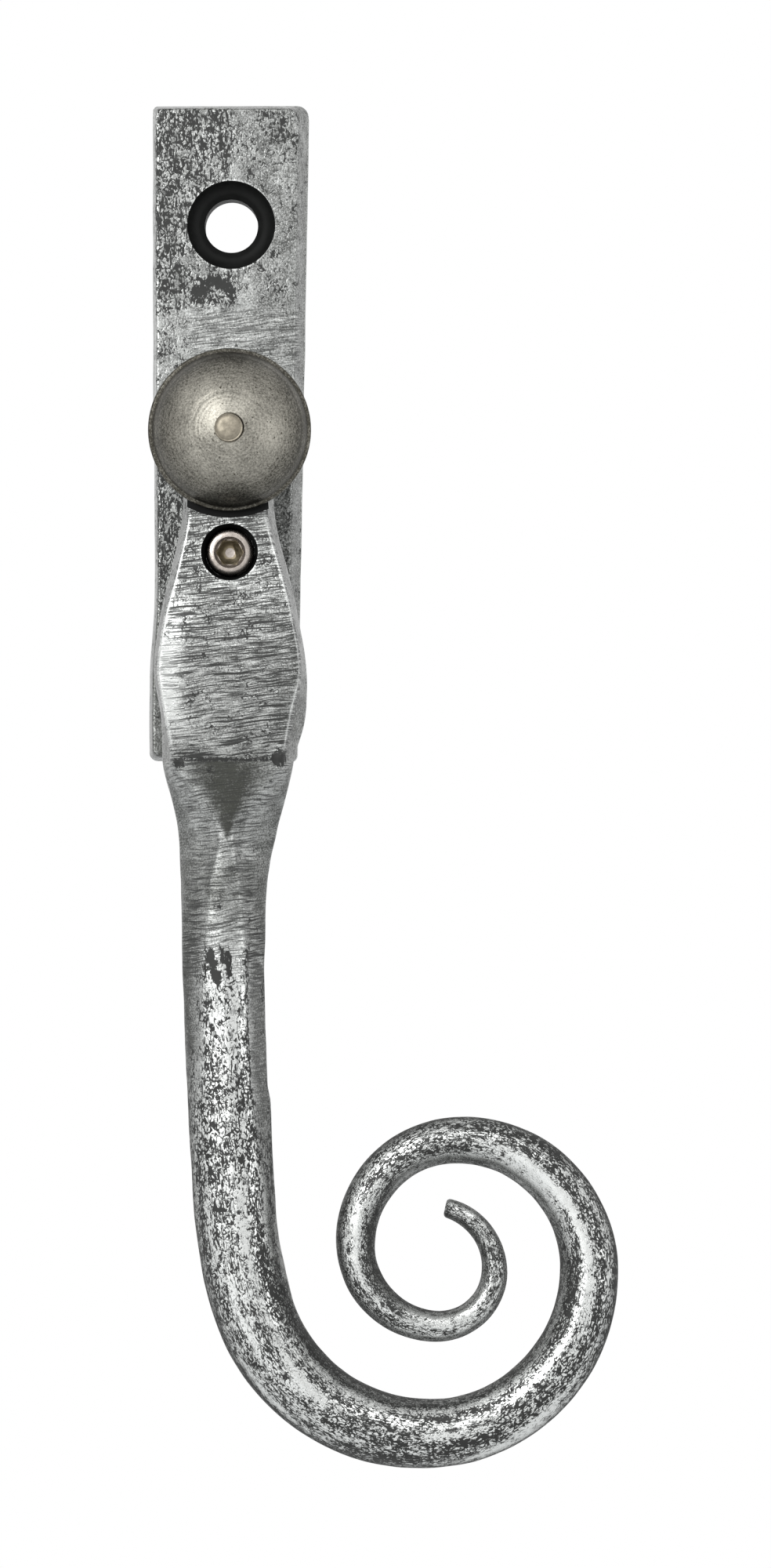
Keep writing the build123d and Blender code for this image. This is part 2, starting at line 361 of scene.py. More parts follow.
def scale_pits(tree, place, cover):
    """Pits left by the forge scale: crooked tracks that widen into blots in places.

    The tracks are a few tenths of a millimetre wide. Where cover is 1 they take nearly half
    the surface, and where it is 0 hardly any.
    """
    long = node(tree, "VectorMath", {0: place, 1: (1.1, 1.1, 0.8)}, operation="MULTIPLY")
    swirl = node(
        tree, "TexNoise", {"Vector": long, "Scale": 1 / 0.55, "Detail": 1.5, "Distortion": 0.5}
    )
    off = node(tree, "Math", {0: swirl, 1: 0.5}, operation="SUBTRACT")
    off = node(tree, "Math", {0: off}, operation="ABSOLUTE")
    patch = clouds(tree, place, 1.3, 2.5)
    reach = node(tree, "Math", {0: cover, 1: 0.08, 2: -0.03}, operation="MULTIPLY_ADD")
    reach = node(tree, "Math", {0: patch, 1: 0.27, 2: reach}, operation="MULTIPLY_ADD")
    return dark_under(tree, off, reach, 24.0, 0.5)


def specks(tree, place, cover):
    """Fine pits 0.1 to 0.15 mm wide, and short dark lines along the bar where it is well pitted."""
    long = node(tree, "VectorMath", {0: place, 1: (1.2, 1.2, 0.75)}, operation="MULTIPLY")
    grain = node(
        tree, "TexNoise", {"Vector": long, "Scale": 1 / 0.28, "Detail": 1.3, "Distortion": 0.3}
    )
    level = node(tree, "Math", {0: cover, 1: 0.1, 2: 0.338}, operation="MULTIPLY_ADD")
    spots = dark_under(tree, grain, level, 9.0, 0.45)
    drawn = node(
        tree, "Mapping", {"Vector": place, "Scale": (0.27, 0.27, 1.15)}, vector_type="TEXTURE"
    )
    looks = {"Vector": drawn, "Scale": 1.0, "Detail": 1.0, "Distortion": 0.2}
    lines = node(tree, "TexNoise", looks)
    lines = dark_under(tree, lines, 0.415, 12.0, 0.35)
    deep = node(tree, "Math", {0: cover, 1: 3.0, 2: -1.4}, operation="MULTIPLY_ADD", use_clamp=True)
    lines = node(tree, "Math", {0: lines, 1: deep}, operation="MULTIPLY")
    return node(tree, "Math", {0: spots, 1: lines}, operation="MAXIMUM")


def file_marks(tree, place, rise, length, width):
    """Streaks that a file leaves across the bar, 0 in the dark ones and 1 between them.

    They rise to the right by an angle in degrees, and are so many millimetres long and wide.
    """
    bend = node(tree, "TexNoise", {"Vector": place, "Scale": 1 / 6.0, "Detail": 2.5}, "Color")
    sway = node(
        tree, "VectorMath", {0: bend, 1: (0.0, 0.0, 0.9), 2: place}, operation="MULTIPLY_ADD"
    )
    along = node(
        tree,
        "Mapping",
        {"Vector": sway, "Rotation": (0.0, -radians(rise), 0.0), "Scale": (length, length, width)},
        vector_type="TEXTURE",
    )
    return node(
        tree,
        "TexNoise",
        {"Vector": along, "Scale": 1.0, "Detail": 1.0, "Roughness": 0.6, "Distortion": 0.1},
    )


def worn_mouth(tree, place, drop, radius, height):
    """The thin bright ring round the mouth of a hole on the middle line, in front of a height."""
    away = node(tree, "VectorMath", {0: place, 1: (0.0, 0.0, -drop)}, operation="SUBTRACT")
    reach = from_axis(tree, away)
    ring = node(tree, "Math", {0: reach, 1: radius + 0.1, 2: 0.16}, operation="COMPARE")
    back = node(tree, "SeparateXYZ", {0: place}, "Y")
    ahead = node(tree, "Math", {0: back, 1: TAIL_HEIGHT - height}, operation="LESS_THAN")
    return node(tree, "Math", {0: ring, 1: ahead}, operation="MULTIPLY")


def forged_steel():
    """Mild steel from the forge, blackened and rubbed back by hand.

    The rubbed high spots are silver grey with a soft gloss, the pits and file marks stay black
    and dull, and the ground facets that the wheel left are a plain darker grey. The bright paint
    also holds painted highlights, on the leaf's left strip and the bar's crest, and the dull paint
    holds painted shade, on the knee and the bar's sides.
    """
    material, tree = new_material("forged mild steel, blackened and rubbed back")
    place = node(tree, "Attribute", (), "Vector", attribute_name="unbent")
    pitted, filed, bright, dull = [
        node(tree, "Attribute", (), "Fac", attribute_name=name) for name in FINISHES
    ]

    pits = scale_pits(tree, place, pitted)
    pepper = specks(tree, place, pitted)
    holes = node(tree, "Math", {0: pitted, 1: 1.6}, operation="MULTIPLY", use_clamp=True)
    holes = node(tree, "Math", {0: pepper, 1: holes}, operation="MULTIPLY")
    coarse = file_marks(tree, place, 5.0, 4.5, 0.145)
    fine = file_marks(tree, place, 8.0, 1.8, 0.1)
    cuts = dark_under(tree, coarse, 0.44, 20.0, 0.3)
    cuts = node(tree, "Math", {0: cuts, 1: 0.97}, operation="MULTIPLY")
    lines = dark_under(tree, fine, 0.42, 12.0, 0.3)
    lines = node(tree, "Math", {0: lines, 1: 0.75}, operation="MULTIPLY")
    marks = node(tree, "Math", {0: cuts, 1: lines}, operation="MAXIMUM")
    marks = node(tree, "Math", {0: marks, 1: filed}, operation="MULTIPLY", use_clamp=True)
    black = node(tree, "Math", {0: pits, 1: holes}, operation="MAXIMUM")
    black = node(tree, "Math", {0: black, 1: marks}, operation="MAXIMUM")

    cloud = clouds(tree, place, 1.6, 3.0, 0.6)
    grain = clouds(tree, place, 0.16, 1.0)
    streak = node(tree, "Math", {0: fine, 1: 0.5}, operation="SUBTRACT")
    streak = node(tree, "Math", {0: streak, 1: filed}, operation="MULTIPLY")
    mix = node(tree, "Math", {0: cloud, 1: 0.7, 2: bright}, operation="MULTIPLY_ADD")
    mix = node(tree, "Math", {0: grain, 1: 1.3, 2: mix}, operation="MULTIPLY_ADD")
    mix = node(tree, "Math", {0: streak, 1: 1.8, 2: mix}, operation="MULTIPLY_ADD")
    sink_ring = worn_mouth(tree, place, -FIXING_DROP, SINK_RADIUS, PLATE_THICKNESS - 1)
    bore_ring = worn_mouth(tree, place, LOCK_DROP, BORE_RADIUS, PLATE_THICKNESS + 4)
    rings = node(tree, "Math", {0: sink_ring, 1: bore_ring}, operation="MAXIMUM")
    mix = node(tree, "Math", {0: rings, 1: 0.4, 2: mix}, operation="MULTIPLY_ADD")
    metal = node(
        tree, "Mix", {0: mix, 6: colour("595a58"), 7: colour("d6d8d6")}, 2, data_type="RGBA"
    )
    mottle = node(tree, "Math", {0: cloud, 1: grain})
    mottle = node(tree, "Math", {0: mottle, 1: -0.8, 2: 1.0}, operation="MULTIPLY_ADD")
    flat = node(tree, "Math", {0: dull, 1: mottle}, operation="MULTIPLY", use_clamp=True)
    # the dull paint mixes the metal towards a dark grey: ground facets, and painted shade on the
    # knee and the bar's sides
    worn = node(tree, "Mix", {0: flat, 6: metal, 7: colour("434440")}, 2, data_type="RGBA")
    base = node(tree, "Mix", {0: black, 6: worn, 7: colour("171816")}, 2, data_type="RGBA")
    metallic = node(tree, "Math", {0: black, 1: -0.8, 2: 1.0}, operation="MULTIPLY_ADD")
    rough = node(tree, "Math", {0: cloud, 1: 0.3, 2: 0.25}, operation="MULTIPLY_ADD")
    rough = node(tree, "Math", {0: black, 1: 0.3, 2: rough}, operation="MULTIPLY_ADD")
    rough = node(tree, "Math", {0: dull, 1: 0.25, 2: rough}, operation="MULTIPLY_ADD")
    low = node(tree, "Math", {0: black, 1: -1.0}, operation="MULTIPLY")
    skin = node(tree, "Math", {0: grain, 1: 0.35, 2: low}, operation="MULTIPLY_ADD")
    looks = {"Base Color": base, "Metallic": metallic, "Roughness": rough}
    give_surface(tree, looks, skin, 0.7, 0.00003)
    return material


def black_oxide():
    """Steel left black in the holes, where no cloth reached: nearly black with a faint sheen."""
    material, tree = new_material("blackened steel, not rubbed")
    place = object_place(tree)
    cloud = node(tree, "TexNoise", {"Vector": place, "Scale": 1 / 0.9, "Detail": 3.0})
    tones = {0: cloud, 6: colour("0c0c0c"), 7: colour("1b1c1b")}
    base = node(tree, "Mix", tones, 2, data_type="RGBA")
    rough = node(tree, "Math", {0: cloud, 1: 0.3, 2: 0.4}, operation="MULTIPLY_ADD")
    looks = {"Base Color": base, "Roughness": rough, "Specular IOR Level": 0.12}
    give_surface(tree, looks, cloud, 0.4, 0.00003)
    return material


def turned_steel():
    """Mild steel turned on a lathe, browned and waxed: warm grey, fine rings, small dark specks."""
    material, tree = new_material("turned mild steel, browned and waxed")
    place = object_place(tree)
    reach = from_axis(tree, place)
    lathe = {"W": reach, "Scale": 1 / 0.22, "Detail": 2.0}
    rings = node(tree, "TexNoise", lathe, noise_dimensions="1D")
    rings = node(tree, "Math", {0: rings, 1: 0.5}, operation="SUBTRACT")
    grain = clouds(tree, place, 0.2, 3.0, 0.75)
    cloud = clouds(tree, place, 2.6, 2.0)
    # painted shade: the dome is painted darker towards its rim, where its steep sides face away
    rim = node(
        tree,
        "MapRange",
        {"Value": reach, "From Min": 4.6, "From Max": 8.2, "To Min": 0.51, "To Max": 0.05},
        interpolation_type="SMOOTHSTEP",
    )
    mix = node(tree, "Math", {0: rings, 1: 0.3, 2: rim}, operation="MULTIPLY_ADD")
    mix = node(tree, "Math", {0: grain, 1: 1.9, 2: mix}, operation="MULTIPLY_ADD")
    mix = node(tree, "Math", {0: cloud, 1: 0.45, 2: mix}, operation="MULTIPLY_ADD")
    metal = node(
        tree, "Mix", {0: mix, 6: colour("403e38"), 7: colour("b0ada3")}, 2, data_type="RGBA"
    )
    spot = node(tree, "TexNoise", {"Vector": place, "Scale": 1 / 0.24, "Detail": 1.0})
    spot = dark_under(tree, spot, 0.325, 18.0, 0.0)
    base = node(tree, "Mix", {0: spot, 6: metal, 7: colour("3d3a33")}, 2, data_type="RGBA")
    rough = node(tree, "Math", {0: grain, 1: 0.3, 2: 0.42}, operation="MULTIPLY_ADD")
    skin = node(tree, "Math", {0: grain, 1: 0.6, 2: rings}, operation="MULTIPLY_ADD")
    looks = {"Base Color": base, "Metallic": 1.0, "Roughness": rough}
    give_surface(tree, looks, skin, 0.5, 0.00002)
    return material


def plain_metal(name, dark, light, roughness, size, stretch=1.0, metallic=1.0):
    """A machined, plated or coated piece: one colour, with fine marks drawn out along Y."""
    material, tree = new_material(name)
    place = object_place(tree)
    scale = (size, size * stretch, size)
    along = node(tree, "Mapping", {"Vector": place, "Scale": scale}, vector_type="TEXTURE")
    looks = {"Vector": along, "Scale": 1.0, "Detail": 3.0, "Roughness": 0.6}
    streak = node(tree, "TexNoise", looks)
    base = node(tree, "Mix", {0: streak, 6: colour(dark), 7: colour(light)}, 2, data_type="RGBA")
    rough = node(tree, "Math", {0: streak, 1: 0.2, 2: roughness - 0.1}, operation="MULTIPLY_ADD")
    looks = {"Base Color": base, "Metallic": metallic, "Roughness": rough}
    give_surface(tree, looks, streak, 0.4, 0.00002)
    return material


# Backplate


def plate_blank():
    """The backplate without its holes: a bar end with bevelled arrises, cut into a fine grid."""
    bm = bmesh.new()
    corners = [bm.verts.new((x, 0, z)) for x, z in PLATE_CORNERS]
    bm.faces.new(corners)
    for corner, radius in zip(corners, PLATE_CORNER_RADII):
        bmesh.ops.bevel(
            bm, geom=[corner], offset=radius, segments=5, profile=0.5, affect="VERTICES",
            offset_type="OFFSET", material=-1,
        )
    face = bm.faces[:][0]
    levels = [
        (PLATE_BEVEL_HEIGHT, 0, 0, 0),
        (PLATE_THICKNESS, PLATE_BEVEL_LEFT, PLATE_BEVEL_RIGHT, PLATE_BEVEL_ENDS),
    ]
    for height, left, right, ends in levels:
        made = bmesh.ops.extrude_face_region(bm, geom=[face])["geom"]
        face = next(g for g in made if isinstance(g, bmesh.types.BMFace))
        for vertex in face.verts:
            spot = vertex.co
            spot.y = -height
            spot.x += left if spot.x < 0 else -right
            inward = ends * ramp(30, 33, abs(spot.z))
            spot.z -= inward if spot.z > 0 else -inward
    back = [v for v in bm.verts if v.co.y > -0.01]
    bmesh.ops.contextual_create(bm, geom=back)
    bmesh.ops.recalc_face_normals(bm, faces=bm.faces)
    for height, reach, segments in (
        (PLATE_THICKNESS, PLATE_ARRIS, 3),
        (PLATE_BEVEL_HEIGHT, PLATE_LOW_ARRIS, 2),
    ):
        edges = [e for e in bm.edges if all(abs(v.co.y + height) < 1e-4 for v in e.verts)]
        round_edges(bm, edges, reach, segments)
    for first, last, inward in (
        (PLATE_CORNERS[0], PLATE_CORNERS[3], PLATE_BEVEL_LEFT),
        (PLATE_CORNERS[1], PLATE_CORNERS[2], -PLATE_BEVEL_RIGHT),
    ):
        for gap in PLATE_FRONT_CUTS:
            start = (first[0] + inward + (gap if inward > 0 else -gap), 0, first[1])
            cut_across(bm, start, (first[1] - last[1], 0, last[0] - first[0]))
    for height in PLATE_BEVEL_CUTS:
        cut_across(bm, (0, -height, 0), (0, 1, 0))
    for axis, reach in ((0, 5), (2, 34), (1, 5)):
        count = int(reach / PLATE_GRID)
        for i in range(-count, count + 1):
            where, facing = [0, 0, 0], [0, 0, 0]
            where[axis] = i * PLATE_GRID
            facing[axis] = 1
            cut_across(bm, where, facing)
    return bm


def plate_forging(materials):
    """The backplate: a slightly uneven forging with two countersunk holes and a bearing."""
    bm = plate_blank()
    for vertex in bm.verts:
        spot = vertex.co
        hollow = read_table(PLATE_LEFT_HOLLOW, spot.z)[0] * ramp(-5.2, -7.5, spot.x)
        wave = noise.noise(Vector((spot.x / 7, spot.y / 9, spot.z / 6)))
        ripple = noise.noise(Vector((spot.x / 2.2 + 9, spot.y / 3, spot.z / 2.6)))
        edge = ramp(5.0, 7.0, abs(spot.x)) * (1 if spot.x > 0 else -1)
        end = ramp(31.5, 33.3, abs(spot.z)) * (1 if spot.z > 0 else -1)
        front = ramp(-7.4, -7.9, spot.y)
        spot.x += hollow + edge * (0.05 * wave + 0.02 * ripple - 0.03)
        spot.z += end * (0.04 * wave + 0.02 * ripple - 0.04)
        spot.y += front * (0.05 * wave + 0.035 * ripple + 0.05)
    plate = as_object(bm, "plate_forging", materials)
    front, behind = PLATE_THICKNESS + 1, -1
    # the countersink is dished: an arc that ends 1.15 mm inwards and 1.7 mm deeper
    sink = [(0, front), (4.75, front), (4.62, 8.05), (SINK_RADIUS, 7.86)]
    full = radians(72)
    for i in range(1, 9):
        turn = i / 8 * full
        inward = 1.15 * (1 - cos(turn)) / (1 - cos(full))
        sink.append((SINK_RADIUS - inward, 7.86 - 1.7 * sin(turn) / sin(full)))
    sink += [(3.22, 6.05), (2.75, 5.55), (2.75, behind), (0, behind)]
    dog_hole = [(0, front), (1.9, front), (1.9, 4.0), (0, 3.6)]
    bearing = [(0, front), (6.25, front), (6.25, 3.2), (6.75, 3.2), (6.75, 0.2)]
    bearing += [(6.95, -0.2), (6.95, behind), (0, behind)]
    for profile, steps, drop in (
        (sink, 96, -FIXING_DROP),
        (sink, 96, FIXING_DROP),
        (dog_hole, 48, LOCK_DROP),
        (bearing, 96, 0),
    ):
        joined(plate, turned(profile, steps, drop), "DIFFERENCE", 1)
    paint(plate, [(v.co.x, -v.co.y, -v.co.z) for v in plate.data.vertices], plate_finish)
    return plate


def plate_finish(across, height, drop):
    """How the plate is pitted, filed, bright and dull at a spot."""
    # the sides have few pits and the back has more
    if height < PLATE_THICKNESS - 0.6:
        return 0.12 if height > 0.1 else 0.5, 0.0, 0.22, 0.0
    up = -drop
    pitted = 0.52 + 0.35 * noise.noise(Vector((across / 3.0, 0, up / 3.6)))
    for more, *fades in PLATE_PATCHES:
        for (none, full), value in zip(fades, (up, across, up)):
            more *= ramp(none, full, value)
        pitted += more
    arch_across, arch_up, arch_radius = PLATE_ARCH
    ragged = arch_radius + 0.7 * noise.noise(Vector((across / 0.9, 0, up / 0.9)))
    away = abs(hypot(across - arch_across, up - arch_up) - ragged)
    pitted += 2.0 * ramp(0.7, 0.2, away) * ramp(arch_up - 1, arch_up + 0.1, up)
    # ground above the knob, worn along the edges and ends, and dark at the foot on the left
    ground = ramp(14.0, 12.2, up) * ramp(6.0, 7.5, up) * ramp(-5.5, -3.5, across)
    # the right edge leans inwards towards the foot
    slant = 1.05 * ramp(30, -30, up) if across > 0 else 0.0
    edge = ramp(7.0, 7.9, abs(across + 0.3) + slant)
    end = ramp(33.1, 33.6, abs(up))
    foot = ramp(-16, -21, up) * ramp(-5, -6, across)
    pitted *= (1 - 0.7 * ground) * (1 - 0.6 * edge) * (1 - 0.4 * end) * (1 - 0.7 * foot)
    filed = 0.65 * ground + 0.3 * ramp(2, 5, across) * ramp(-4, -10, up)
    bright = 0.44 - 0.16 * ramp(0, 4, across) - 0.14 * ramp(0, -6, up)
    return pitted, filed, bright + 0.1 * edge - 0.28 * foot, max(0.2 * foot, 0.35 * end)


# Handle


def leaf_heights(drop):
    """Heights of the leaf's front and back faces."""
    along = max(drop - LEAF_START, 0) / (KNEE_DROP - LEAF_START)
    return [start + rise * along**late for start, rise, late in (LEAF_FRONT, LEAF_BACK)]


def bar_corners(drop):
    """The six corners of the handle's section as (across, height), and how round it is."""
    if drop <= KNEE_DROP:
        widths = read_table(LEAF_WIDTHS, drop)
        front, back = leaf_heights(drop)
        side = front - (front - back) * LEAF_BEVEL
        roundness = 0.0
    else:
        *widths, front, side, back, roundness = read_table(KNEE_SHAPE, drop)
    front_left, front_right, side_left, side_right = widths
    corners = [
        (-front_left, front),
        (front_right, front),
        (side_right, side),
        (side_right * LEAF_BACK_WIDTH, back),
        (-side_left * LEAF_BACK_WIDTH, back),
        (-side_left, side),
    ]
    return corners, roundness


def crown(across, drop, half_width):
    """How far the leaf's front is worn back towards its left edge at the belly."""
    belly = ramp(12, 22, drop) * ramp(34, 29, drop)
    return LEAF_CROWN * belly * ramp(0.3, 1.15, -across / half_width)


def tail_radius(to_tip):
    """The bar's radius, which falls off towards the tip."""
    return min(TAIL_RADIUS, TIP_RADIUS + 0.06 * max(to_tip, 0) ** 0.83)


def round_place(angle, drop, to_tip):
    """Where the round bar's skin is at an angle from its front, flats included."""
    radius = reach = tail_radius(to_tip)
    left, right = read_table(GRIP_REACH, drop, straight=True)
    reach *= 1 + ((right if sin(angle) > 0 else left) - 1) * abs(sin(angle))
    for facing, depth, begins, run_out in TAIL_FLATS:
        deep = depth * ramp(begins - 5, begins + 5, drop) * ramp(run_out, run_out - 14, drop)
        apart = (angle - radians(facing) + pi) % (2 * pi) - pi
        if deep > 0 and abs(apart) < 1.2:
            reach = min(reach, radius * (1 - deep) / cos(apart))
    return Vector((TAIL_CENTRE + reach * sin(angle), TAIL_HEIGHT + reach * cos(angle)))


def bar_section(drop, to_tip):
    """Points round the handle's section as (across, height), in order from the front's left."""
    corners, roundness = bar_corners(min(drop, KNEE_END))
    starts, ends = [], []
    for i, corner in enumerate(corners):
        here = Vector(corner)
        to_before = Vector(corners[i - 1]) - here
        to_after = Vector(corners[(i + 1) % 6]) - here
        reach = min(CORNER_ROUNDING[i], 0.45 * to_before.length, 0.45 * to_after.length)
        starts.append(here + to_before.normalized() * reach)
        ends.append(here + to_after.normalized() * reach)
    points = []
    for i, corner in enumerate(corners):
        points += [starts[i], (starts[i] + ends[i]) / 4 + Vector(corner) / 2, ends[i]]
        after = starts[(i + 1) % 6]
        count = SIDE_POINTS[i]
        for j in range(count):
            share = (j + 1) / (count + 1)
            crowded = share - 0.7 * sin(2 * pi * share) / (2 * pi)
            points.append(ends[i].lerp(after, crowded if i == 0 else share))
    front_middle = CORNER_POINTS + (SIDE_POINTS[0] - 1) / 2
    half_width = -corners[0][0]
    places = []
    for i, point in enumerate(points):
        angle = 2 * pi * (i - front_middle) / len(points)
        point.y -= crown(point.x, drop, half_width) * ramp(3, 0, corners[0][1] - point.y)
        places.append(point.lerp(round_place(angle, drop, to_tip), roundness))
    return places


def tail_path(distance):
    """Where the handle's centre line is at a distance, and the direction across it."""
    if distance <= TAIL_STRAIGHT_END:
        return Vector((TAIL_CENTRE, -distance)), Vector((1, 0))
    place = Vector((TAIL_CENTRE, -TAIL_STRAIGHT_END))
    heading = -pi / 2
    left = distance - TAIL_STRAIGHT_END
    for radius, turn in TAIL_ARCS:
        run = min(left, radius * radians(turn))
        side = Vector((-sin(heading), cos(heading)))
        centre = place + side * radius
        heading += run / radius
        side = Vector((-sin(heading), cos(heading)))
        place = centre - side * radius
        left -= run
        if left <= 0:
            break
    return place, side


def knee_dents(across, drop):
    """How far a spot is from each dent's middle, as a share of its radius, and its depth."""
    for dent_across, dent_drop, radius, depth in KNEE_DENTS:
        yield hypot(across - dent_across, drop - dent_drop) / radius, depth


def hammered(across, height, drop, to_tip):
    """A spot of the section, moved by the waves and dents that the hammer left."""
    spot = Vector((across, -height, -drop))
    wave = noise.noise(spot / 5.0)
    ripple = noise.noise(spot / 1.9 + Vector((5, 0, 0)))
    # ridges run along the bar from where it was bent
    ridge = noise.noise(Vector((across / 2.4, height / 2.4, drop / 22)))
    amount = 0.07 * wave + 0.03 * ripple + 0.16 * ridge * ramp(60, 80, drop)
    amount = (amount - 0.03) * ramp(0, 14, to_tip)
    for away, depth in knee_dents(across, drop):
        if height > TAIL_HEIGHT:
            amount -= depth * ramp(1.0, 0.2, away)
    middle = TAIL_HEIGHT if drop > KNEE_DROP else sum(leaf_heights(drop)) / 2
    outward = Vector((across - TAIL_CENTRE, height - middle)).normalized()
    return across + outward.x * amount, height + outward.y * amount


def handle_skin():
    """Leaf with bevelled sides, knee, grip and curled tail, drawn out section by section."""
    bm = bmesh.new()
    unbent = bm.verts.layers.float_vector.new("place")
    end = TAIL_STRAIGHT_END + sum(radius * radians(turn) for radius, turn in TAIL_ARCS)
    # sections half a millimetre apart on the leaf, closer at the knee and even on the tail
    stations = [3.0 + 0.5 * i for i in range(61)] + [33.4, 33.75, 34.0, 34.25, 34.6]
    count = int((end - 35.0) / 0.45)
    stations += [35.0 + (end - 35.0) * i / count for i in range(count + 1)]
    ring = None
    for distance in stations:
        centre, side = tail_path(distance)
        points = bar_section(distance, end - distance)
        spots = []
        for across, height in points:
            moved, raised = hammered(across, height, distance, end - distance)
            out = moved - TAIL_CENTRE
            spots.append((centre.x + side.x * out, -raised, centre.y + side.y * out))
        if ring is None:
            ring = [bm.verts.new(spot) for spot in spots]
            for pair in zip(ring, ring[1:] + ring[:1]):
                bm.edges.new(pair)
            bmesh.ops.contextual_create(bm, geom=ring)
        else:
            ring = extrude_ring(bm, ring, spots)
        for vertex, (across, height) in zip(ring, points):
            vertex[unbent] = (across, height, distance)
    tip = bmesh.ops.contextual_create(bm, geom=ring)["faces"]
    round_edges(bm, tip[0].edges[:], 0.35, 3)
    bmesh.ops.recalc_face_normals(bm, faces=bm.faces)
    return bm


def handle_forging(materials):
    """The handle: leaf, knee, grip and tail with the hub behind, and the lock screw's bore."""
    handle = as_object(handle_skin(), "handle_forging", materials)
    hub = [(0, 8.8), (7.0, 8.8), (7.25, 9.05), (7.25, 17.6), (0, 17.6)]
    joined(handle, turned(hub, 96), "UNION")
    # the knob's seat is cut in the black steel: unrubbed oxide, and painted shade in the gap under
    # the knob
    spot_face = [(0, 16.8), (9.0, 16.8), (9.0, 45), (0, 45)]
    joined(handle, turned(spot_face, 128), "DIFFERENCE", 1)
    bore = [(0, 40), (BORE_RADIUS, 40), (BORE_RADIUS, 15.9), (2.55, 15.6), (2.55, 5), (0, 5)]
    joined(handle, turned(bore, 72, LOCK_DROP), "DIFFERENCE", 1)
    places = []
    for vertex, kept in zip(handle.data.vertices, handle.data.attributes["place"].data):
        on_leaf = vertex.co.z > 1 - KNEE_DROP
        places.append((vertex.co.x, -vertex.co.y, -vertex.co.z) if on_leaf else tuple(kept.vector))
    handle.data.attributes.remove(handle.data.attributes["place"])
    paint(handle, places, handle_finish)
    return handle


def handle_finish(across, height, drop):
    """How the handle is pitted, filed, bright and dull at a spot of the unbent bar."""
    if drop < KNEE_DROP:
        return leaf_finish(across, height, drop)
    corners, _ = bar_corners(min(drop, KNEE_END))
    angle = atan2(across - TAIL_CENTRE, height - TAIL_HEIGHT)
    below = ramp(KNEE_END - 7, KNEE_END + 3, drop)
    upper = knee_finish(across, height, drop, corners, angle)
    lower = grip_finish(across, height, drop, angle)
    return [a + (b - a) * below for a, b in zip(upper, lower)]


def grip_finish(across, height, drop, angle):
    """How the grip and the tail are pitted, filed, bright and dull."""
    # along the bar: the coil, its inner turn and its lowest bend
    coil = ramp(70, 84, drop)
    inner = ramp(140, 175, drop)
    bend = ramp(84, 94, drop) * ramp(118, 106, drop)
    # round the bar: the crest, rubbed and also painted bright as a painted highlight, narrower on
    # the inner turn; the sides, painted dull as painted shade; and long streaks of pits
    rubbed_and_highlit_crest = ramp(0.3 + 0.3 * inner, 0.97, abs(cos(angle + 0.2)))
    side = ramp(0.62, 0.1, abs(cos(angle)))
    band = noise.noise(Vector((across / 1.1, height / 1.1, drop / 13)))
    flat_left = ramp(0.4, 0.75, -angle) * ramp(1.5, 1.2, -angle) * ramp(72, 62, drop)
    flat_right = ramp(0.55, 0.75, angle) * ramp(1.6, 1.3, angle) * ramp(74, 68, drop)
    flat = max(flat_left, flat_right)
    # fewer pits along the coil where its crest highlight falls: partly rubbed, partly painted
    # highlight
    rubbed = coil * ramp(0.4, 0.1, abs(angle - 0.15))
    pitted = 1.0 + coil * (0.2 * side + 1.25 * band) - 0.25 * rubbed + 0.14 * bend
    pitted *= (1 - 0.7 * flat_right) * (1 - 0.35 * flat_left)
    pitted *= 1 - 0.3 * ramp(184, 200, drop)
    pitted *= 0.65 * ramp(50, 56, drop) + 0.35 * ramp(60, 70, drop)
    for facing, depth in GRIP_GROOVES:
        groove = ramp(0.1, 0.03, abs(angle - facing)) * ramp(74, 64, drop)
        pitted += depth * groove * ramp(50, 54, drop)
    for pit_across, pit_drop, half_width, half_length in GRIP_PITS:
        skew = 0.3 * (drop - pit_drop) + 0.5 * noise.noise(Vector((across, 0, drop)))
        away = hypot((across - pit_across - skew) / half_width, (drop - pit_drop) / half_length)
        pitted += 2.5 * ramp(1.3, 0.7, away) * (height > TAIL_HEIGHT)
    filed = 0.45 * flat_right + 0.3 * flat_left + 0.8 * ramp(58, 53, drop)
    rubbed_and_highlit_crest *= 0.4 + 0.6 * ramp(51, 59, drop)
    bright = 0.25 + 0.75 * rubbed_and_highlit_crest - 0.2 * flat_right - 0.5 * flat_left
    bright -= 0.3 * band * coil + 0.08 * bend + 0.14 * inner
    return pitted, filed, bright, 0.7 * side * (1 - flat)


def dent_pits(across, drop):
    """How much more pitted the dents at the knee are."""
    return sum(2.5 * ramp(0.9, 0.5, away) for away, _ in knee_dents(across, drop))


